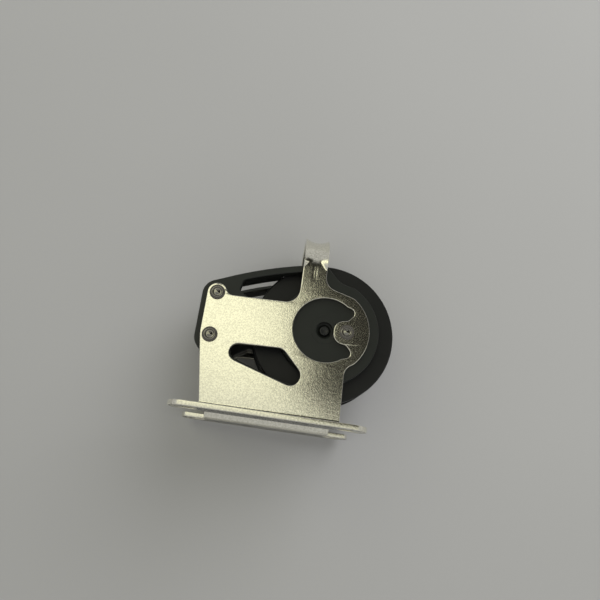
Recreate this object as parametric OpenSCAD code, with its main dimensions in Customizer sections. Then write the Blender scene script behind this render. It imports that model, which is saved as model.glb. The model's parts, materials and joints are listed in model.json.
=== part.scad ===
// Upright single sheave block. The sheave turns on a roller bearing about an axle that lies along Y.
// Origin: centre of the four mounting holes, on the underside of the base. +X points from the head
// towards the sheave's free edge, +Z points away from the deck, and the front is the -Y side.

/* [Sheave] */
// Outside diameter of the sheave
sheave_d = 60; // [58:0.5:60.5]
// Width of the sheave across its side faces
sheave_w = 18.4; // [18:0.2:18.8]
// Radius of the rope groove's section
groove_r = 6.8; // [5:0.1:7]
// Radius from the axle to the bottom of the rope groove
groove_floor_r = 23.4; // [22.5:0.1:24.5]

/* [Bracket] */
// Sheet thickness of the bent bracket
sheet_t = 2; // [1.8:0.1:2.2]
// Width across the outer faces of the bracket's two side plates
bracket_w = 33; // [32.6:0.2:34]
// Inside radius of the bend between side plate and flange
bend_r = 2; // [1.5:0.1:2.2]
// Height of the sheave's axle above the deck
axle_z = 40; // [39.5:0.5:41]
// Distance of the axle from the centre of the mounting holes, along X
axle_x = 18.2; // [17.8:0.1:18.6]

/* [Mounting] */
// Distance between the mounting holes along X
hole_pitch_x = 60; // [58:0.5:61]
// Distance between the mounting holes along Y
hole_pitch_y = 48; // [48:0.5:50]
// Radius of a mounting hole
hole_r = 3.25; // [2.6:0.05:3.3]
// Radius of the rounded end of a flange
flange_r = 8; // [7.8:0.1:8.2]

/* [Bail] */
// Width of the strap that bridges the sheave
bail_w = 10.2; // [9:0.2:11]
// How far the strap's edges curl outward beyond its middle
bail_dish = 1.5; // [1:0.1:1.8]

/* [Bearing] */
// Outside radius of the fixed hub that the rollers run on
hub_r = 12.2; // [12.1:0.1:12.3]
// Nominal radius of a bearing roller
roller_r = 1.6; // [1.5:0.05:1.65]
// Number of thrust balls on each side
ball_count = 18; // [12:1:18]
// Radius of a thrust ball
ball_r = 1.2; // [1.1:0.05:1.25]
// Radius of the circle that the thrust balls run on
ball_row_r = 17.2; // [17.1:0.05:17.3]

/* [Rivets] */
// Radius of a rivet's shank
rivet_r = 2; // [1.8:0.05:2]
// Radius of a rivet's rolled head
rivet_head_r = 3.25; // [3:0.05:3.3]

/* [Hidden] */
$fn = 96;

roller_count = 16;                       // one node for each
over = 1;                                // how far a cut runs past the face it opens
run_gap = 0.3;                           // side clearance of turning parts
fit_gap = 0.03;                          // radial clearance of a rolling fit
push_gap = 0.02;                         // radial clearance of a locating fit

outer_y = bracket_w / 2;                 // bracket's outer face
inner_y = outer_y - sheet_t;             // bracket's inner face
cheek_face = inner_y - 0.1;              // cheek's outer face, clear of the strap's inner curve
sheave_r = sheave_d / 2;
sheave_y = sheave_w / 2;                 // sheave's side face
cheek_y = sheave_y + run_gap;            // cheek's inner face

// Everything below is placed from the axle, as [x, z].
deck_z = -axle_z;
flange_z = deck_z + sheet_t;
bend_z = flange_z + bend_r;              // where the side plate meets its bend
head_rivet_x = -46.2;
head_rivets_z = [8.8, -9.2];
hub_rivet_x = 8.9;
bail_x = -7.3;                           // middle of the strap
bail_z = 26.2;                           // centre of the strap's half circle
plate_left = -45.7;                      // side plate's lower left edge
plate_right = 10.1;
opening_r = 13.6;                        // hole in the side plate, around the hub
ring_r = 22.8;                           // round end of a cheek
boss_r = 19.1;                           // part of the cheek that holds the ball track
recess_r = boss_r + run_gap;             // sheave's recess for the ball row
back_r = 167.3;                          // large curve along a cheek's top and bottom
back_c = [24.2, -136.3];                 // its centre, for the top
rim_w = 3;                               // width of cheek left between window and edge
rib_t = 1;                               // rib behind that rim
rib_y = 5;                               // how near the middle it comes

ball_y = sheave_y - 0.7;                 // middle of a ball row
track_r = ball_r + 0.05;
web_y = ball_y - 0.7;                    // sheave's face inside its recess
ball_ring_t = 0.9;
bore_r = hub_r + 2 * roller_r;
pitch_r = hub_r + roller_r;
roller_y = web_y - 0.5;
cage_y = roller_y + 1.5;

pin_r = 2.05;
pin_well_r = 3.5;
pin_well = 1.8;
pin_y = cheek_face - 0.9;

// Small tools

function unit(v) = v / norm(v);

// Points of an arc about c, from angle a0 to a1
function arc(c, r, a0, a1, n = 16) =
    [for (i = [0:n]) let (a = a0 + (a1 - a0) * i / n) [c.x + r * cos(a), c.y + r * sin(a), 0]];

// Corner b between a and c, rounded with radius r
function corner(a, b, c, r, n = 8) =
    r == 0 ? [b] :
    let (
        u = unit(a - b),
        v = unit(c - b),
        half = acos(u * v) / 2,
        o = b + unit(u + v) * r / sin(half),
        p = b + u * r / tan(half) - o,
        q = b + v * r / tan(half) - o,
        start = atan2(p.y, p.x),
        sweep = (atan2(q.y, q.x) - start + 540) % 360 - 180
    )
    [for (i = [0:n]) let (t = start + sweep * i / n) o + r * [cos(t), sin(t)]];

function flat(p) = [p.x, p.y];

// An outline through corners [x, z, radius]
function rounded(p) =
    let (n = len(p))
    [for (i = [0:n - 1])
        each corner(flat(p[(i + n - 1) % n]), flat(p[i]), flat(p[(i + 1) % n]), p[i].z)];

function flipped(p) = [for (i = [len(p) - 1:-1:0]) [p[i].x, -p[i].y, p[i].z]];

// Moves the axle's frame to its place above the deck
module at_axle() {
    translate([axle_x, 0, axle_z])
        children();
}

// A plate from an outline in X and Z, between y0 and y1
module plate(y0, y1) {
    translate([0, y1, 0])
        rotate([90, 0, 0])
            linear_extrude(y1 - y0)
                children();
}

// A shape turned about the axle from a section in [radius, y]
module turned() {
    rotate([-90, 0, 0])
        rotate_extrude()
            children();
}

// A round bar along Y
module bar(r, y0, y1, x = 0, z = 0) {
    translate([x, y0, z])
        rotate([-90, 0, 0])
            cylinder(r = r, h = y1 - y0);
}

module rear() {
    mirror([0, 1, 0])
        children();
}

module both_sides() {
    children();
    rear()
        children();
}

// Bracket: one sheet bent from flange to side plate, over the top and down again

module plate_outline() {
    ear_r = 4;
    lug_ring_r = 18.2;
    polygon(rounded(concat(
        [[plate_left, bend_z, 0], [-50.2, -9, 20]],
        arc([head_rivet_x, head_rivets_z[0]], ear_r, 180, 22.7),
        arc([-39.74, 11.5], 3, 202.7, 270, 6),
        [[bail_x - bail_w / 2, 9.4, 6]],
        [[bail_x - bail_w / 2, bail_z, 0], [bail_x + bail_w / 2, bail_z, 0]],
        [[bail_x + bail_w / 2 + 0.2, 18.4, 5.5]],
        arc([0.3, -0.1], lug_ring_r, 56, -45, 20),
        [[plate_right - 0.4, -15, 5], [plate_right, bend_z, 0]]
    )));
}

// Round opening with a lug for the hub rivet reaching in from the right
module plate_opening() {
    polygon(rounded(concat(
        arc([0.2, -0.2], opening_r, 54, 305, 48),
        [[12.8, -9.8, 2], [9.4, -5.5, 2.6], [3.6, -4.6, 4.2]],
        [[3.6, 3.8, 4.2], [9.2, 5, 2.6], [13, 9.4, 2.1]]
    )));
}

// Long window below the head, a triangle with rounded corners
module plate_slot() {
    polygon(rounded([[-55.3, -12, 3.6], [-16.1, -10.5, 4.4], [2.5, -29.6, 4.15]]));
}

module side_plate() {
    plate(inner_y, outer_y)
        difference() {
            plate_outline();
            plate_opening();
            plate_slot();
        }
}

module bend() {
    translate([plate_left, outer_y + bend_r, bend_z])
        rotate([0, 90, 0])
            intersection() {
                difference() {
                    cylinder(r = bend_r + sheet_t, h = plate_right - plate_left);
                    translate([0, 0, -over])
                        cylinder(r = bend_r, h = plate_right - plate_left + 2 * over);
                }
                translate([0, -bend_r - sheet_t, -over])
                    cube([bend_r + sheet_t, bend_r + sheet_t, plate_right - plate_left + 2 * over]);
            }
}

// Flange with its two mounting holes, placed from the deck
module flange() {
    hx = hole_pitch_x / 2;
    hy = hole_pitch_y / 2;
    difference() {
        union() {
            translate([-hx, hy - flange_r, 0])
                cube([hole_pitch_x, 2 * flange_r, sheet_t]);
            for (x = [-hx, hx])
                translate([x, hy, 0])
                    cylinder(r = flange_r, h = sheet_t);
        }
        for (x = [-hx, hx])
            translate([x, hy, -over])
                cylinder(r = hole_r, h = sheet_t + 2 * over);
        // clears the bend's outside curve
        translate([-hole_pitch_x, -over, -over])
            cube([2 * hole_pitch_x, outer_y + bend_r + over, sheet_t + 2 * over]);
    }
}

// Dished strap over the sheave, a half turn about an axis along X
module bail() {
    dish_r = (pow(bail_w / 2, 2) + pow(bail_dish, 2)) / (2 * bail_dish);
    translate([bail_x, 0, bail_z])
        rotate([90, 0, 90])
            rotate_extrude(angle = 180)
                intersection() {
                    difference() {
                        translate([outer_y + dish_r, 0])
                            circle(r = dish_r + sheet_t);
                        translate([outer_y + dish_r, 0])
                            circle(r = dish_r);
                    }
                    translate([inner_y - over, -bail_w / 2])
                        square([sheet_t + bail_dish + over, bail_w]);
                }
}

module bracket() {
    color("lightgray") {
        at_axle() {
            both_sides() {
                difference() {
                    side_plate();
                    rivet_holes(inner_y - over, outer_y + over);
                }
                bend();
            }
            bail();
        }
        both_sides()
            flange();
    }
}

// Cheeks: moulded shells, each between a side plate and the sheave

// The head's lower half stands 1 mm further out than its upper half
module cheek_outline() {
    head_r = 6.35;
    upper = concat(
        arc([head_rivet_x, 8.6], head_r, 180, 115, 8),
        arc(back_c, back_r, 114.5, 102.2, 12),
        [[-1.6, 27.6, 1.5], [4.2, 21.7, 9]]
    );
    ring = arc([0, 0], ring_r, 62, -62, 40);
    lower = [for (p = upper) p + [0, 1, 0]];
    polygon(rounded(concat(upper, ring, flipped(lower))));
}

// Window between the head and the round end
module cheek_window() {
    polygon(rounded(concat(
        [[-30.9, 7.5, 3], [-37.4, 11.8, 2], [-36.4, 16.4, 2]],
        arc(back_c, back_r - rim_w, 109.6, 102.7, 8),
        [[-7.6, 24.2, 1.8], [-7, 18.4, 1.5]],
        arc([0, 0], boss_r + 0.1, 112, 154, 8)
    )));
}

// Section of the ribs that keep the rope off the windows' outer edges
module cheek_ribs() {
    inside = back_r - rim_w;
    rib = concat(
        arc(back_c, inside, 112.2, 106.2, 8),
        arc(back_c, inside + rib_t, 105.6, 112.2, 8)
    );
    polygon(rounded(rib));
    polygon(rounded(flipped(rib)));
}

module cheek() {
    difference() {
        union() {
            plate(rib_y, cheek_y + over)
                cheek_ribs();
            plate(cheek_y, cheek_face)
                difference() {
                    cheek_outline();
                    cheek_window();
                    mirror([0, 1, 0])
                        cheek_window();
                }
            bar(boss_r, sheave_y, cheek_y + over);
        }
        rivet_holes(sheave_y - over, inner_y + over);
        bar(pin_r + push_gap, sheave_y - over, inner_y + over);
        bar(pin_well_r, cheek_face - pin_well, inner_y + over);
        ball_track();
    }
}

module front_cheek() {
    color("dimgray")
        at_axle()
            rear()
                cheek();
}

module rear_cheek() {
    color("dimgray")
        at_axle()
            cheek();
}

// Spacer that holds the cheeks apart at the head
module head_spacer() {
    spacer_y = cheek_y;
    color("darkslategray")
        at_axle()
            difference() {
                plate(-spacer_y, spacer_y)
                    polygon(rounded([
                        [-51, -12.4, 4], [-51, 12, 4], [-38.8, 15.6, 2.5],
                        [-39.4, 0, 12], [-38.8, -15.6, 2.5]
                    ]));
                rivet_holes(-spacer_y - over, spacer_y + over);
            }
}

// Sheave: rope groove outside, roller bore inside, a recess on each side for the thrust balls

module sheave() {
    lip_r = 0.8;
    color("black")
        at_axle()
            difference() {
                turned()
                    difference() {
                        union() {
                            translate([bore_r, -sheave_y + lip_r])
                                square([sheave_r - bore_r, sheave_w - 2 * lip_r]);
                            translate([bore_r, -sheave_y])
                                square([sheave_r - bore_r - lip_r, sheave_w]);
                            for (y = [-1, 1])
                                translate([sheave_r - lip_r, y * (sheave_y - lip_r)])
                                    circle(r = lip_r);
                        }
                        translate([groove_floor_r + groove_r, 0])
                            circle(r = groove_r);
                        translate([groove_floor_r + groove_r, -groove_r])
                            square([sheave_r, 2 * groove_r]);
                        for (y = [web_y, -sheave_y - over])
                            translate([bore_r - over, y])
                                square([recess_r - bore_r + over, sheave_y - web_y + over]);
                    }
                both_sides()
                    ball_track();
            }
}

// Bearing

module bearing_hub() {
    color("ivory")
        at_axle()
            difference() {
                bar(hub_r, -sheave_y, sheave_y);
                bar(pin_r + push_gap, -sheave_y - over, sheave_y + over);
                bar(rivet_r + 0.1, -sheave_y - over, sheave_y + over, hub_rivet_x);
            }
}

module centre_pin() {
    color("black")
        at_axle()
            bar(pin_r, -pin_y, pin_y);
}

module roller_cage() {
    pocket_r = roller_r + 0.06;
    color("beige")
        at_axle()
            difference() {
                bar(bore_r - 0.3, -cage_y, cage_y);
                bar(hub_r + 0.3, -cage_y - over, cage_y + over);
                for (i = [0:roller_count - 1])
                    rotate([0, -360 / roller_count * i, 0])
                        bar(pocket_r, -roller_y - 0.1, roller_y + 0.1, pitch_r);
            }
}

// Roller number n, counted round the hub from +X towards +Z
module roller(n) {
    color("khaki")
        at_axle()
            rotate([0, -360 / roller_count * (n - 1), 0])
                bar(roller_r - fit_gap, -roller_y, roller_y, pitch_r);
}

module ball_track() {
    translate([0, ball_y, 0])
        turned()
            translate([ball_row_r, 0])
                circle(r = track_r);
}

module each_ball() {
    for (i = [0:ball_count - 1])
        rotate([0, 360 / ball_count * i, 0])
            translate([ball_row_r, ball_y, 0])
                children();
}

module balls() {
    each_ball()
        rotate([90, 0, 0])
            sphere(r = ball_r);
}

module ball_ring() {
    ring_half_w = 1.5;
    difference() {
        bar(ball_row_r + ring_half_w, ball_y - ball_ring_t / 2, ball_y + ball_ring_t / 2);
        bar(ball_row_r - ring_half_w, ball_y - over, ball_y + over);
        each_ball()
            bar(ball_r + 0.06, -over, over);
    }
}

module front_ball_ring() {
    color("wheat")
        at_axle()
            rear()
                ball_ring();
}

module rear_ball_ring() {
    color("wheat")
        at_axle()
            ball_ring();
}

module front_balls() {
    color("white")
        at_axle()
            rear()
                balls();
}

module rear_balls() {
    color("white")
        at_axle()
            balls();
}

// Rivets, rolled over on both outer faces

module rivet_holes(y0, y1) {
    for (z = head_rivets_z)
        bar(rivet_r + 0.1, y0, y1, head_rivet_x, z);
    bar(rivet_r + 0.1, y0, y1, hub_rivet_x);
}

module rivet() {
    head_h = 1.1;
    dish_r = 1.5;
    bar(rivet_r, -outer_y, outer_y);
    both_sides()
        translate([0, outer_y, 0])
            difference() {
                intersection() {
                    bar(rivet_head_r, 0, head_h);
                    translate([0, head_h - 5.6, 0])
                        sphere(r = 5.6);
                }
                translate([0, head_h + 0.9, 0])
                    sphere(r = dish_r);
            }
}

module head_rivets() {
    color("silver")
        at_axle()
            for (z = head_rivets_z)
                translate([head_rivet_x, 0, z])
                    rivet();
}

module hub_rivet() {
    color("silver")
        at_axle()
            translate([hub_rivet_x, 0, 0])
                rivet();
}

bracket();
front_cheek();
rear_cheek();
head_spacer();
sheave();
bearing_hub();
centre_pin();
head_rivets();
hub_rivet();
roller_cage();
front_ball_ring();
rear_ball_ring();
front_balls();
rear_balls();
roller(1);  // roller_01
roller(2);  // roller_02
roller(3);  // roller_03
roller(4);  // roller_04
roller(5);  // roller_05
roller(6);  // roller_06
roller(7);  // roller_07
roller(8);  // roller_08
roller(9);  // roller_09
roller(10);  // roller_10
roller(11);  // roller_11
roller(12);  // roller_12
roller(13);  // roller_13
roller(14);  // roller_14
roller(15);  // roller_15
roller(16);  // roller_16
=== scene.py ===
# Looks of an upright single sheave block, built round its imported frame. Metres, +Z up, front is -Y.

import json
import math
from types import SimpleNamespace

import bmesh
import bpy
from mathutils import Matrix, Vector


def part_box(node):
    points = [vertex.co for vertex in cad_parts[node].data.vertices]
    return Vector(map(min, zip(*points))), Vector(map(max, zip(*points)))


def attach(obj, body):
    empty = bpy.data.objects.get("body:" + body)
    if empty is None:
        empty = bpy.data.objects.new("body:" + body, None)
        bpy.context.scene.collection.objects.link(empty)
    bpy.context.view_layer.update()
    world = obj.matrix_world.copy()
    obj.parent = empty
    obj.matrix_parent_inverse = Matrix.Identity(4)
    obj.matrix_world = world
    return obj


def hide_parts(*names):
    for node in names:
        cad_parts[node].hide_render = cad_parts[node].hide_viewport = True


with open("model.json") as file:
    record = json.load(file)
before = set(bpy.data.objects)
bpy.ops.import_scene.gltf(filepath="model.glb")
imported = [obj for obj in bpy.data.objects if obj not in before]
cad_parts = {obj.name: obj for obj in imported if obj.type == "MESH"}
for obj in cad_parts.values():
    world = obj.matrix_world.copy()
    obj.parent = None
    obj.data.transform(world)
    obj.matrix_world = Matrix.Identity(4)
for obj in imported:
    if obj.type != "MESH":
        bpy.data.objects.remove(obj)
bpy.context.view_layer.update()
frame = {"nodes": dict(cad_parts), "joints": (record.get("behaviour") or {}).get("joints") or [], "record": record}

MM = 0.001
AXLE = Vector(next(j["pos_m"] for j in frame["joints"] if j["name"] == "sheave_spin"))
SHEET = 2 * MM                        # thickness of the bracket's sheet
BEND_R = 2 * MM                       # inside radius of the bend between side plate and flange
OUTER_Y = 16.5 * MM                   # outer face of a side plate
FACE_Y = -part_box("front_cheek")[0].y  # outer face of a cheek
CHEEK_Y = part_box("head_spacer")[1].y  # inner face of a cheek's plate
RIB_Y = -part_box("front_cheek")[1].y   # inner end of the ribs behind a cheek's windows
RIVET_HEAD_R = 3.25 * MM
SIDES = {"front": -1, "rear": 1}


# ---------------------------------------------------------------- outlines taken from the frame

def perimeter(loop):
    return sum((a - b).length for a, b in zip(loop, loop[1:] + loop[:1]))


def outlines(node, axis, level, facing):
    """Closed outlines of a CAD node's flat faces at a level along an axis, the longest first."""
    mesh = frame["nodes"][node].data
    border = set()
    for face in mesh.polygons:
        corners = [mesh.vertices[i].co for i in face.vertices]
        off_level = any(abs(c[axis] - level) > 3e-6 for c in corners)
        if off_level or face.normal[axis] * facing < 0.99:
            continue
        keys = [tuple(round(v * 1e6) for v in c) for c in corners]
        for edge in zip(keys, keys[1:] + keys[:1]):
            if edge[::-1] in border:
                border.remove(edge[::-1])
            else:
                border.add(edge)
    after = dict(border)
    found = []
    while after:
        start = min(after)
        keys = [start]
        point = after.pop(start)
        while point != start:
            keys.append(point)
            point = after.pop(point)
        found.append([Vector(k) * 1e-6 for k in keys])
    return sorted(found, key=perimeter, reverse=True)


def stretch(loop, first, last):
    """The part of a loop from the vertex nearest first to the vertex nearest last, in its own order."""
    start = min(range(len(loop)), key=lambda i: (loop[i] - first).length)
    turned = loop[start:] + loop[:start]
    end = min(range(len(turned)), key=lambda i: (turned[i] - last).length)
    return turned[:end + 1]


# ---------------------------------------------------------------- mesh tools

def flat_mesh(name, loops, thickness, edge, steps=2):
    """A plate in X and Y with rounded edges, as thick in Z. Inner loops are its holes."""
    curve = bpy.data.curves.new(name, "CURVE")
    curve.dimensions = "2D"
    curve.fill_mode = "BOTH"
    curve.extrude = thickness / 2 - edge
    curve.bevel_depth = edge
    curve.bevel_resolution = steps
    curve.offset = -edge
    for loop in loops:
        spline = curve.splines.new("POLY")
        spline.points.add(len(loop) - 1)
        for point, (x, y) in zip(spline.points, loop):
            point.co = (x, y, 0, 1)
        spline.use_cyclic_u = True
    holder = bpy.data.objects.new(name, curve)
    bpy.context.scene.collection.objects.link(holder)
    bpy.context.view_layer.update()
    evaluated = holder.evaluated_get(bpy.context.evaluated_depsgraph_get())
    mesh = bpy.data.meshes.new_from_object(evaluated)
    bpy.data.objects.remove(holder)
    bm = bmesh.new()
    bm.from_mesh(mesh)
    bpy.data.meshes.remove(mesh)
    bmesh.ops.remove_doubles(bm, verts=bm.verts, dist=2e-7)
    return bm


def turned_mesh(bm, profile, centre, segments=96):
    """Adds a solid turned about an axis along Y, from a closed profile of (radius, y)."""
    rings = []
    for radius, y in profile:
        if radius < 1e-7:
            rings.append([bm.verts.new((centre.x, y, centre.z))])
            continue
        turns = [math.tau * i / segments for i in range(segments)]
        places = [(centre.x + radius * math.cos(a), y, centre.z + radius * math.sin(a)) for a in turns]
        rings.append([bm.verts.new(place) for place in places])
    for one, two in zip(rings, rings[1:] + rings[:1]):
        if len(one) == 1 and len(two) == 1:
            continue
        for i in range(segments):
            j = (i + 1) % segments
            corners = [one[i % len(one)], one[j % len(one)], two[j % len(two)], two[i % len(two)]]
            bm.faces.new(list(dict.fromkeys(corners)))


def piece(name, bm, material, body, nodes):
    """Finishes a mesh as a piece that rides on a body and stands for CAD nodes."""
    bmesh.ops.recalc_face_normals(bm, faces=bm.faces)
    mesh = bpy.data.meshes.new(name)
    bm.to_mesh(mesh)
    bm.free()
    mesh.shade_smooth()
    mesh.materials.append(material)
    made = bpy.data.objects.new(name, mesh)
    bpy.context.scene.collection.objects.link(made)
    flats = made.modifiers.new("flats", "WEIGHTED_NORMAL")
    flats.weight = 90
    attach(made, body)
    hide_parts(*nodes)
    return made


# ---------------------------------------------------------------- materials

def add(tree, kind, inputs=None, **settings):
    """A shader node, with its settings made and its inputs set or linked."""
    made = tree.nodes.new(kind)
    for key, value in settings.items():
        setattr(made, key, value)
    for key, value in (inputs or {}).items():
        if isinstance(value, bpy.types.NodeSocket):
            tree.links.new(value, made.inputs[key])
        else:
            made.inputs[key].default_value = value
    return made


def new_material(name):
    material = bpy.data.materials.new(name)
    material.use_nodes = True
    return material, material.node_tree, material.node_tree.nodes["Principled BSDF"]


def in_mm(tree, stretch_by=(1, 1, 1), turn=(0, 0, 0)):
    """Model coordinates in millimetres."""
    where = add(tree, "ShaderNodeTexCoord").outputs["Object"]
    scale = [1000 * s for s in stretch_by]
    return add(tree, "ShaderNodeMapping", {"Vector": where, "Scale": scale, "Rotation": turn}).outputs[0]


def noise(tree, where, scale, detail=3.0, roughness=0.55):
    inputs = {"Vector": where, "Scale": scale, "Detail": detail, "Roughness": roughness}
    return add(tree, "ShaderNodeTexNoise", inputs).outputs["Fac"]


def spread(tree, value, low, high, start=0.0, end=1.0):
    """Maps a value from one range onto another."""
    inputs = {"Value": value, "From Min": start, "From Max": end, "To Min": low, "To Max": high}
    return add(tree, "ShaderNodeMapRange", inputs).outputs[0]


def maths(tree, operation, *values):
    return add(tree, "ShaderNodeMath", dict(enumerate(values)), operation=operation).outputs[0]


def vector_maths(tree, operation, *values):
    return add(tree, "ShaderNodeVectorMath", dict(enumerate(values)), operation=operation)


def mixed_colour(tree, value, one, two):
    """A blend of two colours, each of them an RGB triple or a socket."""
    one, two = (c if isinstance(c, bpy.types.NodeSocket) else (*c, 1) for c in (one, two))
    return add(tree, "ShaderNodeMix", {0: value, 6: one, 7: two}, data_type="RGBA").outputs[2]


def smooth_range(tree, value, low, high):
    """0 below low, 1 above high, or the other way round when low is the greater."""
    inputs = {"Value": value, "From Min": low, "From Max": high}
    return add(tree, "ShaderNodeMapRange", inputs, interpolation_type="SMOOTHSTEP").outputs[0]


def bump(tree, height, depth_mm):
    inputs = {"Height": height, "Distance": depth_mm * MM, "Strength": 1.0}
    return add(tree, "ShaderNodeBump", inputs).outputs[0]


STEEL_ROUGH = (0.07, 0.17)
HAIR_WIDTH = 0.006                    # of the noise's range, so that only hairlines are scratched
SCRATCH_ROUGH = 0.10
SCRATCH_MM = 0.0004
FLANK_SHADE_FADE = (0.82, 0.96)             # how squarely a rivet's surface faces sideways, where its painted shade comes in


def steel(name, dark, light, grain_mm, peel_mm, painted_flank_shade=None):
    """Electropolished stainless: a speckled grain with hairline scratches. A flank colour, if given, is painted
    shade and painted dark reflection on steep sides.
    """
    material, tree, shader = new_material(name)
    where = in_mm(tree)
    grain = noise(tree, where, 2.4, 1.0, 0.6)
    peel = noise(tree, where, 0.55, 2.0, 0.5)
    cloud = noise(tree, where, 0.09, 2.0, 0.5)
    fleck = smooth_range(tree, noise(tree, where, 1.5, 1.0, 0.5), 0.3, 0.7)
    mottle = maths(tree, "ADD", maths(tree, "MULTIPLY", cloud, 0.3), maths(tree, "MULTIPLY", fleck, 0.7))
    hair = noise(tree, in_mm(tree, (0.05, 1.0, 2.6), (0, 0.35, 0)), 1.0, 1.0, 0.4)
    hair_size = maths(tree, "ABSOLUTE", maths(tree, "SUBTRACT", hair, 0.5))
    scratch = spread(tree, hair_size, 1.0, 0.0, 0.0, HAIR_WIDTH)
    rough = spread(tree, grain, *STEEL_ROUGH)
    rough = maths(tree, "ADD", rough, maths(tree, "MULTIPLY", scratch, SCRATCH_ROUGH))
    grain_height = maths(tree, "MULTIPLY", grain, grain_mm)
    height = maths(tree, "ADD", grain_height, maths(tree, "MULTIPLY", peel, peel_mm))
    height = maths(tree, "SUBTRACT", height, maths(tree, "MULTIPLY", scratch, SCRATCH_MM))
    colour = mixed_colour(tree, mottle, dark, light)
    # Painted shade and painted dark reflection: surfaces that face sideways, the steep flanks, take the darker
    # flank colour.
    if painted_flank_shade:
        normal = add(tree, "ShaderNodeNewGeometry").outputs["Normal"]
        across = add(tree, "ShaderNodeSeparateXYZ", {0: normal}).outputs[1]
        facing = maths(tree, "ABSOLUTE", across)
        colour = mixed_colour(tree, smooth_range(tree, facing, *FLANK_SHADE_FADE), painted_flank_shade, colour)
    tree.links.new(colour, shader.inputs["Base Color"])
    tree.links.new(rough, shader.inputs["Roughness"])
    tree.links.new(bump(tree, height, 1.0), shader.inputs["Normal"])
    shader.inputs["Metallic"].default_value = 1.0
    return material


RING_WAVE = 18.0                      # radians of a turning mark's wave for each millimetre


def plastic(name, dark, light, rough=(0.42, 0.58), grain_mm=0.006, rings=0.0):
    """Moulded or turned polymer. rings is the depth of its turning marks about the axle."""
    material, tree, shader = new_material(name)
    where = in_mm(tree)
    fine = noise(tree, where, 3.2, 3.0, 0.6)
    cloud = noise(tree, where, 0.16, 2.0, 0.5)
    height = maths(tree, "MULTIPLY", fine, grain_mm)
    if rings:
        from_axle = vector_maths(tree, "SUBTRACT", where, AXLE * 1000).outputs[0]
        flat = vector_maths(tree, "MULTIPLY", from_axle, (1, 0, 1)).outputs[0]
        radius = vector_maths(tree, "LENGTH", flat).outputs["Value"]
        wave = maths(tree, "SINE", maths(tree, "MULTIPLY", radius, RING_WAVE))
        height = maths(tree, "ADD", height, maths(tree, "MULTIPLY", wave, rings))
    tree.links.new(mixed_colour(tree, cloud, dark, light), shader.inputs["Base Color"])
    tree.links.new(spread(tree, fine, *rough), shader.inputs["Roughness"])
    tree.links.new(bump(tree, height, 1.0), shader.inputs["Normal"])
    return material


PLATE_STEEL = steel("plate_steel", (0.74, 0.722, 0.634), (1.0, 0.978, 0.857), 0.014, 0.006)
# The rivets' darker flank colour is painted shade and painted dark reflection round each head.
RIVET_STEEL = steel("rivet_steel", (0.26, 0.25, 0.22), (0.38, 0.37, 0.33), 0.014, 0.004,
                    painted_flank_shade=(0.17, 0.16, 0.14))
CHEEK_BLACK = plastic("cheek_black", (0.008, 0.010, 0.008), (0.012, 0.014, 0.011))
SHEAVE_BLACK = plastic("sheave_black", (0.002, 0.0025, 0.002), (0.005, 0.0055, 0.005), (0.45, 0.6), 0.004,
                       rings=0.0006)
PIN_BLACK = plastic("pin_black", (0.006, 0.007, 0.006), (0.01, 0.011, 0.01), (0.35, 0.5), 0.003)
HUB_BLACK = plastic("hub_black", (0.02, 0.02, 0.02), (0.03, 0.03, 0.03), (0.3, 0.42), 0.003)
CAGE_WHITE = plastic("cage_white", (0.56, 0.53, 0.45), (0.66, 0.63, 0.55), (0.4, 0.5), 0.004)
ROLLER_BROWN = plastic("roller_brown", (0.2, 0.13, 0.05), (0.28, 0.19, 0.08), (0.3, 0.4), 0.003)


# ---------------------------------------------------------------- bracket

SHEET_EDGE = 0.28 * MM                # rounding of the sheet's edges
SAME_LEVEL = 0.01 * MM
CUT_STEP = 0.5 * MM                   # between the cuts where the strap turns into the plate
COARSE = 3                            # near the crest the cuts are this many steps apart
DRAWN_REACH = 9 * MM                  # fine cuts go this far up and down from the strap's foot
BEND_STEPS = 12                       # in each bend between plate and flange
STRAP_STRIPS = 24                     # across the strap

# How the trough dies out, in millimetres below the strap's foot.
FADE_START = -2.4
FADE_SLOPE = 0.47
FADE_ROUNDING = 0.8
CREASE_ROUNDING = 0.05
FULL_DEPTH_ABOVE = -8.4
# Two shallow flutes below it: places and spread in half widths of the strap, depths in millimetres.
FLUTES = ((-0.10, 0.05), (0.10, 0.035))
FLUTE_SPREAD = 0.06
FLUTE_START = (-4, -1)
FLUTE_END = (4.4, 6.6)


def smooth_step(value, low, high):
    t = min(1.0, max(0.0, (value - low) / (high - low)))
    return t * t * (3 - 2 * t)


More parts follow.
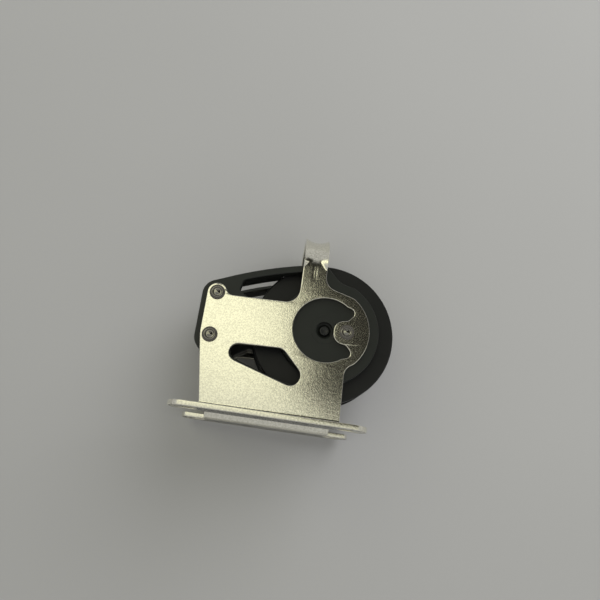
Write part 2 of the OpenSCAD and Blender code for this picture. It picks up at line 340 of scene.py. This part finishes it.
def bracket_layout():
    """The bracket's levels, and its sheet laid flat: x across, and s down from the crest of the bail."""
    plate, *plate_holes = outlines("bracket", 1, -OUTER_Y, -1)
    flange, *flange_holes = [loop for loop in outlines("bracket", 2, SHEET, 1) if loop[0].y < 0]
    top = max(p.z for p in plate)
    foot = min(p.z for p in plate)
    top_x = [p.x for p in plate if abs(p.z - top) < SAME_LEVEL]
    foot_x = [p.x for p in plate if abs(p.z - foot) < SAME_LEVEL]
    lay = SimpleNamespace(top=top, foot=foot)
    lay.strap_x = (min(top_x) + max(top_x)) / 2
    lay.strap_half = (max(top_x) - min(top_x)) / 2
    dish_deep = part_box("bracket")[1].z - top - OUTER_Y
    lay.dish_r = (lay.strap_half ** 2 + dish_deep ** 2) / (2 * dish_deep)
    lay.middle_r = OUTER_Y - SHEET / 2
    lay.fold_r = BEND_R + SHEET / 2
    lay.flange_y = OUTER_Y + BEND_R
    lay.arch = lay.middle_r * math.pi / 2             # s at the strap's foot
    lay.upright = lay.arch + top - foot               # s at the plate's foot
    lay.fold = lay.upright + lay.fold_r * math.pi / 2 # s where the flange begins

    def on_plate(p):
        return (p.x, lay.arch + top - p.z)

    def on_flange(p):
        return (p.x, lay.fold - p.y - lay.flange_y)

    def at_plate(x, z):
        return Vector((x, -OUTER_Y, z))

    def at_flange(x):
        return Vector((x, -lay.flange_y, SHEET))

    left = stretch(plate, at_plate(min(top_x), top), at_plate(min(foot_x), foot))
    right = stretch(plate, at_plate(max(foot_x), foot), at_plate(max(top_x), top))
    base = stretch(flange, at_flange(min(foot_x)), at_flange(max(foot_x)))
    half = [on_plate(p) for p in left] + [on_flange(p) for p in base] + [on_plate(p) for p in right]
    holes = [[on_plate(p) for p in loop] for loop in plate_holes]
    holes += [[on_flange(p) for p in loop] for loop in flange_holes]
    lay.loops = [half + [(x, -s) for x, s in reversed(half)]]
    lay.loops += holes + [[(x, -s) for x, s in loop] for loop in holes]
    return lay


def cut(bm, place, direction, keep=lambda centre: True):
    """Splits the kept faces of the flat sheet by a plane."""
    faces = [f for f in bm.faces if keep(f.calc_center_median())]
    parts = list({v for f in faces for v in f.verts}) + list({e for f in faces for e in f.edges}) + faces
    bmesh.ops.bisect_plane(bm, geom=parts, plane_co=place, plane_no=direction, dist=1e-7)


def flat_sheet(lay):
    """The sheet before it is bent, cut finely enough where it will bend."""
    bm = flat_mesh("bracket", lay.loops, SHEET, SHEET_EDGE)
    reach = lay.arch + DRAWN_REACH
    coarse_end = lay.arch - DRAWN_REACH
    fine = range(math.ceil(coarse_end / CUT_STEP), math.ceil(reach / CUT_STEP) + 1)
    rows = [i * CUT_STEP for i in fine]
    rows += [i * COARSE * CUT_STEP for i in range(math.ceil(coarse_end / CUT_STEP / COARSE))]
    for row in sorted({sign * row for row in rows for sign in (-1, 1)}):
        cut(bm, (0, row, 0), (0, 1, 0))
    for side in (-1, 1):
        for i in range(BEND_STEPS + 1):
            row = side * (lay.upright + (lay.fold - lay.upright) * i / BEND_STEPS)
            cut(bm, (0, row, 0), (0, 1, 0))

    def on_strap(centre):
        return abs(centre.y) < reach and abs(centre.x - lay.strap_x) < lay.strap_half

    for i in range(1, STRAP_STRIPS):
        x = lay.strap_x + lay.strap_half * (2 * i / STRAP_STRIPS - 1)
        cut(bm, (x, 0, 0), (1, 0, 0), on_strap)
    return bm


def drawn(lay, x, a):
    """How far the strap is pushed outward at a place of the flat sheet by its drawing into a trough."""
    off = min(lay.strap_half, abs(x - lay.strap_x))
    depth = (lay.dish_r - math.sqrt(lay.dish_r ** 2 - off ** 2)) / MM
    below = (a - lay.arch) / MM
    past = below - FADE_START
    fade = FADE_SLOPE * (past + math.hypot(past, FADE_ROUNDING)) / 2
    raised = depth
    if below > FULL_DEPTH_ABOVE:
        raised = (depth - fade + math.hypot(depth - fade, CREASE_ROUNDING)) / 2
    flute = 0
    for line, deep in FLUTES:
        gap = (x - lay.strap_x) / lay.strap_half - line
        flute += deep * math.exp(-(gap / FLUTE_SPREAD) ** 2)
    flute *= smooth_step(below, *FLUTE_START) * (1 - smooth_step(below, *FLUTE_END))
    return (raised - flute) * MM


def bent(lay, x, s, t):
    """Where a point of the flat sheet, t above its middle, lies once the sheet is drawn and bent."""
    a = abs(s)
    if a < lay.arch:
        r = lay.middle_r + t + drawn(lay, x, a)
        y, z = r * math.sin(a / lay.middle_r), lay.top + r * math.cos(a / lay.middle_r)
    elif a < lay.upright:
        y, z = lay.middle_r + t + drawn(lay, x, a), lay.top + lay.arch - a
    elif a < lay.fold:
        turn = (a - lay.upright) / lay.fold_r
        y = lay.flange_y - (lay.fold_r - t) * math.cos(turn)
        z = lay.foot - (lay.fold_r - t) * math.sin(turn)
    else:
        y, z = lay.flange_y + a - lay.fold, SHEET / 2 + t
    return (x, -y if s >= 0 else y, z)


def bracket():
    """One sheet, cut flat and then bent over the sheave, with its bail drawn into a shallow trough."""
    lay = bracket_layout()
    bm = flat_sheet(lay)
    for v in bm.verts:
        v.co = bent(lay, *v.co)
    return piece("bracket_sheet", bm, PLATE_STEEL, "block", ["bracket"])


# ---------------------------------------------------------------- plastic parts

def upright_plate(loops, level, facing, thickness, edge):
    """A plate across Y with rounded edges, from its outlines and its outer level inwards."""
    bm = flat_mesh("plate", [[(p.x, p.z) for p in loop] for loop in loops], thickness, edge, 3)
    middle = level - facing * thickness / 2
    for v in bm.verts:
        v.co = (v.co.x, middle + v.co.z, v.co.y)
    return bm


def ring(radius, count=96):
    """A circle about the axle."""
    turns = [math.tau * i / count for i in range(count)]
    return [AXLE + radius * Vector((math.cos(a), 0, math.sin(a))) for a in turns]


def join(bm, other):
    mesh = bpy.data.meshes.new("joined")
    other.to_mesh(mesh)
    other.free()
    bm.from_mesh(mesh)
    bpy.data.meshes.remove(mesh)


INSERT_R = 5.6 * MM                   # turned insert round the well
WELL_DEEP = 1.8 * MM
BOSS_R = 19.1 * MM                    # boss that covers the bearing's side
PIN_GAP = 0.03 * MM


def distance_from_axle(loop):
    return sum(((p - AXLE) * Vector((1, 0, 1))).length for p in loop) / len(loop)


def cheek(side):
    """Moulded cheek with its boss, its ribs and the well that holds the end of the centre pin."""
    sign = SIDES[side]
    name = side + "_cheek"
    edge = 0.5 * MM
    pin_r = (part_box("centre_pin")[1].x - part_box("centre_pin")[0].x) / 2
    loops = outlines(name, 1, sign * FACE_Y, sign)
    well = min(loops[1:], key=distance_from_axle)
    well_r = max(abs(p.x - AXLE.x) for p in well)
    loops[loops.index(well)] = ring(INSERT_R - edge)
    bm = upright_plate(loops, sign * FACE_Y, sign, FACE_Y - CHEEK_Y, edge)
    for rib in outlines(name, 1, sign * RIB_Y, -sign):
        join(bm, upright_plate([rib], sign * RIB_Y, -sign, CHEEK_Y - RIB_Y + 1 * MM, 0.3 * MM))

    well_floor = FACE_Y - WELL_DEEP
    bore_r = pin_r + PIN_GAP
    insert_side = INSERT_R + 0.1 * MM
    base_y = CHEEK_Y + 0.3 * MM
    boss_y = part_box("sheave")[1].y
    profile = [
        (bore_r, well_floor), (well_r - 0.15 * MM, well_floor), (well_r, well_floor + 0.15 * MM),
        (well_r, FACE_Y - 0.25 * MM), (well_r + 0.08 * MM, FACE_Y - 0.08 * MM),
        (well_r + 0.25 * MM, FACE_Y),
        (INSERT_R, FACE_Y + 0.01 * MM), (insert_side, FACE_Y), (insert_side, base_y),
        (BOSS_R - 0.2 * MM, base_y), (BOSS_R, boss_y + 0.2 * MM), (BOSS_R - 0.2 * MM, boss_y),
        (bore_r, boss_y),
    ]
    turned_mesh(bm, [(r, sign * y) for r, y in profile], AXLE)
    return piece(name + "_shell", bm, CHEEK_BLACK, "block", [name])


def head_spacer():
    bm = upright_plate(outlines("head_spacer", 1, CHEEK_Y, 1), CHEEK_Y, 1, 2 * CHEEK_Y, 0.4 * MM)
    return piece("head_spacer_body", bm, CHEEK_BLACK, "block", ["head_spacer"])


# ---------------------------------------------------------------- rivets and pin

def rivet_profile():
    """Rolled rivet, from the dimple in one head along the shank to the other: (radius, y) in mm."""
    head = [
        (0, 0.74), (0.4, 0.72), (0.8, 0.62), (1.2, 0.48), (1.55, 0.46), (1.78, 0.66), (1.95, 0.94),
        (2.15, 1.02), (2.35, 0.92), (2.6, 0.68), (2.9, 0.52), (3.1, 0.36), (3.2, 0.14), (3.22, 0.0),
        (2.0, 0.0),
    ]
    outer = OUTER_Y / MM
    return [(r, -outer - y) for r, y in head] + [(r, outer + y) for r, y in reversed(head)]


def rivets(name, node):
    bm = bmesh.new()
    low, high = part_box(node)
    ends = (low.z + RIVET_HEAD_R, high.z - RIVET_HEAD_R)
    for z in sorted({round(end, 5) for end in ends}):  # to 0.01 mm, so a single rivet is made once
        centre = Vector(((low.x + high.x) / 2, 0, z))
        turned_mesh(bm, [(r * MM, y * MM) for r, y in rivet_profile()], centre, 64)
    return piece(name, bm, RIVET_STEEL, "block", [node])


def centre_pin():
    low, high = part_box("centre_pin")
    r = (high.x - low.x) / 2
    end = high.y
    dimple = [(0, end - 0.25 * MM), (0.45 * r, end - 0.2 * MM), (0.62 * r, end)]
    face = dimple + [(0.88 * r, end), (r, end - 0.3 * MM)]
    bm = bmesh.new()
    turned_mesh(bm, face + [(q, -y) for q, y in reversed(face)], AXLE, 64)
    return piece("centre_pin_body", bm, PIN_BLACK, "block", ["centre_pin"])


bracket()
for side in SIDES:
    cheek(side)
head_spacer()
rivets("head_rivet_pair", "head_rivets")
rivets("hub_rivet_body", "hub_rivet")
centre_pin()

NODE_LOOKS = {
    "sheave_plastic": SHEAVE_BLACK,
    "hub_plastic": HUB_BLACK,
    "cage_plastic": CAGE_WHITE,
    "bearing_plastic": ROLLER_BROWN,
    "stainless_sheet": PLATE_STEEL,
    "cheek_plastic": CHEEK_BLACK,
    "spacer_plastic": CHEEK_BLACK,
    "rivet_steel": RIVET_STEEL,
    "pin_plastic": PIN_BLACK,
}
slots = {part["node"]: part["material_slot"] for part in frame["record"]["subparts"]}
for node, shown in frame["nodes"].items():
    for place in shown.material_slots:
        place.link = "OBJECT"
        place.material = NODE_LOOKS[slots[node]]


# ---------------------------------------------------------------- stage, light and camera

# In the camera's view the block lies on its rear side, on the edge of its rear flange and the side of
# its bail. A table stands there for that view, and a level floor under the base for every other one.
REST_EDGE = Vector((AXLE.x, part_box("bracket")[1].y, 0))
BAIL_SIDE_Y = OUTER_Y + 1.1 * MM
BAIL_SIDE_Z = 71 * MM
REST_TILT = math.atan2(REST_EDGE.y - BAIL_SIDE_Y, BAIL_SIDE_Z)
TABLE_NORMAL = Vector((0, -math.cos(REST_TILT), -math.sin(REST_TILT)))

CAMERA_AT = Vector((-0.0036, -0.2459, -0.019))
CAMERA_RIGHT = Vector((0.98763, -0.08284, 0.13316))
CAMERA_FORWARD = Vector((0.04098, 0.95593, 0.29070))
CAMERA_LENS = 34.62                   # millimetres, on a sensor 36 mm wide


def add_camera():
    data = bpy.data.cameras.new("camera")
    data.lens = CAMERA_LENS
    data.sensor_width = 36
    data.clip_start, data.clip_end = 0.01, 10
    camera = bpy.data.objects.new("camera", data)
    bpy.context.scene.collection.objects.link(camera)
    back = -CAMERA_FORWARD.normalized()
    up = back.cross(CAMERA_RIGHT).normalized()
    right = up.cross(back)
    turn = Matrix((right, up, back)).transposed().to_4x4()
    camera.matrix_world = Matrix.Translation(CAMERA_AT) @ turn
    bpy.context.scene.camera = camera


FLOOR_DARK, FLOOR_LIGHT = (0.46, 0.46, 0.46), (0.53, 0.53, 0.53)
SQUARE_ON = 0.99                      # cosine between the camera's axis and the table's normal


def floor_material(name, facing, when_square_on):
    """Pale matt floor, seen only while the camera faces a direction square on, or only otherwise."""
    material, tree, shader = new_material(name)
    where = in_mm(tree)
    cloud = noise(tree, where, 0.004, 2.0, 0.5)
    speck = noise(tree, where, 0.6, 3.0, 0.6)
    mixed = maths(tree, "ADD", maths(tree, "MULTIPLY", cloud, 0.8), maths(tree, "MULTIPLY", speck, 0.2))
    tree.links.new(mixed_colour(tree, mixed, FLOOR_DARK, FLOOR_LIGHT), shader.inputs["Base Color"])
    tree.links.new(spread(tree, speck, 0.6, 0.75), shader.inputs["Roughness"])
    tree.links.new(bump(tree, speck, 0.004), shader.inputs["Normal"])
    seen = add(tree, "ShaderNodeVectorTransform", {"Vector": facing},
               vector_type="VECTOR", convert_from="WORLD", convert_to="CAMERA").outputs[0]
    depth = add(tree, "ShaderNodeSeparateXYZ", {0: seen}).outputs[2]
    operation = "GREATER_THAN" if when_square_on else "LESS_THAN"
    shown = maths(tree, operation, maths(tree, "ABSOLUTE", depth), SQUARE_ON)
    clear = add(tree, "ShaderNodeBsdfTransparent")
    blend = add(tree, "ShaderNodeMixShader", {0: shown, 1: clear.outputs[0], 2: shader.outputs[0]})
    tree.links.new(blend.outputs[0], tree.nodes["Material Output"].inputs[0])
    return material


def add_floor(name, centre, normal, size, material):
    bm = bmesh.new()
    bmesh.ops.create_grid(bm, x_segments=8, y_segments=8, size=size)
    mesh = bpy.data.meshes.new(name)
    bm.to_mesh(mesh)
    bm.free()
    mesh.materials.append(material)
    floor = bpy.data.objects.new(name, mesh)
    bpy.context.scene.collection.objects.link(floor)
    floor.rotation_mode = "QUATERNION"
    floor.rotation_quaternion = normal.to_track_quat("Z", "X")
    floor.location = centre


def add_softbox(name, place, target, size, power, colour):
    data = bpy.data.lights.new(name, "AREA")
    data.shape = "DISK"
    data.size = size
    data.energy = power
    data.color = colour
    lamp = bpy.data.objects.new(name, data)
    bpy.context.scene.collection.objects.link(lamp)
    lamp.location = place
    lamp.visible_glossy = False
    lamp.rotation_mode = "QUATERNION"
    lamp.rotation_quaternion = (Vector(target) - Vector(place)).to_track_quat("-Z", "Y")


PLAIN = (0.44, 0.44, 0.43)
BACKDROP = (0.46, 0.46, 0.46)
REFLECTOR = (1.14, 1.13, 0.865)
FLAG = (0.028, 0.027, 0.022)
FLAG_EDGE = (0.036, 0.062)            # soft edge, as x of the direction
FLAG_ABOVE, FLAG_BELOW = 0.285, 0.15  # heights where the edge bends
FLAG_LEAN_ABOVE, FLAG_LEAN_BELOW = 1.4, 1.2
FLAG_FOOT = (0.075, 0.11)


def add_world():
    """Even pale surroundings, with a warm reflector at the left front and a dark flag at the right.

    The camera itself sees them plain.
    """
    world = bpy.data.worlds.new("world")
    world.use_nodes = True
    bpy.context.scene.world = world
    tree = world.node_tree
    where = add(tree, "ShaderNodeTexCoord").outputs["Generated"]
    x, y, z = add(tree, "ShaderNodeSeparateXYZ", {0: where}).outputs
    over = maths(tree, "MAXIMUM", maths(tree, "SUBTRACT", z, FLAG_ABOVE), 0.0)
    under = maths(tree, "MAXIMUM", maths(tree, "SUBTRACT", FLAG_BELOW, z), 0.0)
    lean_over = maths(tree, "MULTIPLY", over, FLAG_LEAN_ABOVE)
    lean_under = maths(tree, "MULTIPLY", under, FLAG_LEAN_BELOW)
    bend = maths(tree, "SUBTRACT", lean_over, lean_under)
    past_edge = smooth_range(tree, maths(tree, "ADD", x, bend), *FLAG_EDGE)
    flagged = maths(tree, "MULTIPLY", past_edge, smooth_range(tree, z, *FLAG_FOOT))
    front = smooth_range(tree, y, -0.3, -0.6)
    below_top = smooth_range(tree, z, 0.72, 0.5)
    above_foot = smooth_range(tree, z, -0.08, 0.25)
    near = maths(tree, "MULTIPLY", front, below_top)
    reflector = mixed_colour(tree, above_foot, PLAIN, REFLECTOR)
    panel = mixed_colour(tree, flagged, reflector, FLAG)
    lit = mixed_colour(tree, near, PLAIN, panel)
    by_camera = add(tree, "ShaderNodeLightPath").outputs["Is Camera Ray"]
    colour = mixed_colour(tree, by_camera, lit, BACKDROP)
    shade = tree.nodes["Background"]
    tree.links.new(colour, shade.inputs["Color"])
    shade.inputs["Strength"].default_value = 1.0


add_camera()
add_world()
table_pale = floor_material("table_pale", TABLE_NORMAL, True)
floor_pale = floor_material("floor_pale", TABLE_NORMAL, False)
add_floor("table", REST_EDGE, TABLE_NORMAL, 0.6, table_pale)
add_floor("floor", Vector((0, 0, 0)), Vector((0, 0, 1)), 0.9, floor_pale)
add_softbox("key", (0.5, -0.72, 0.62), (0, 0, 0.04), 1.0, 7.0, (1.0, 1.0, 1.0))
bpy.context.scene.view_settings.view_transform = "Standard"
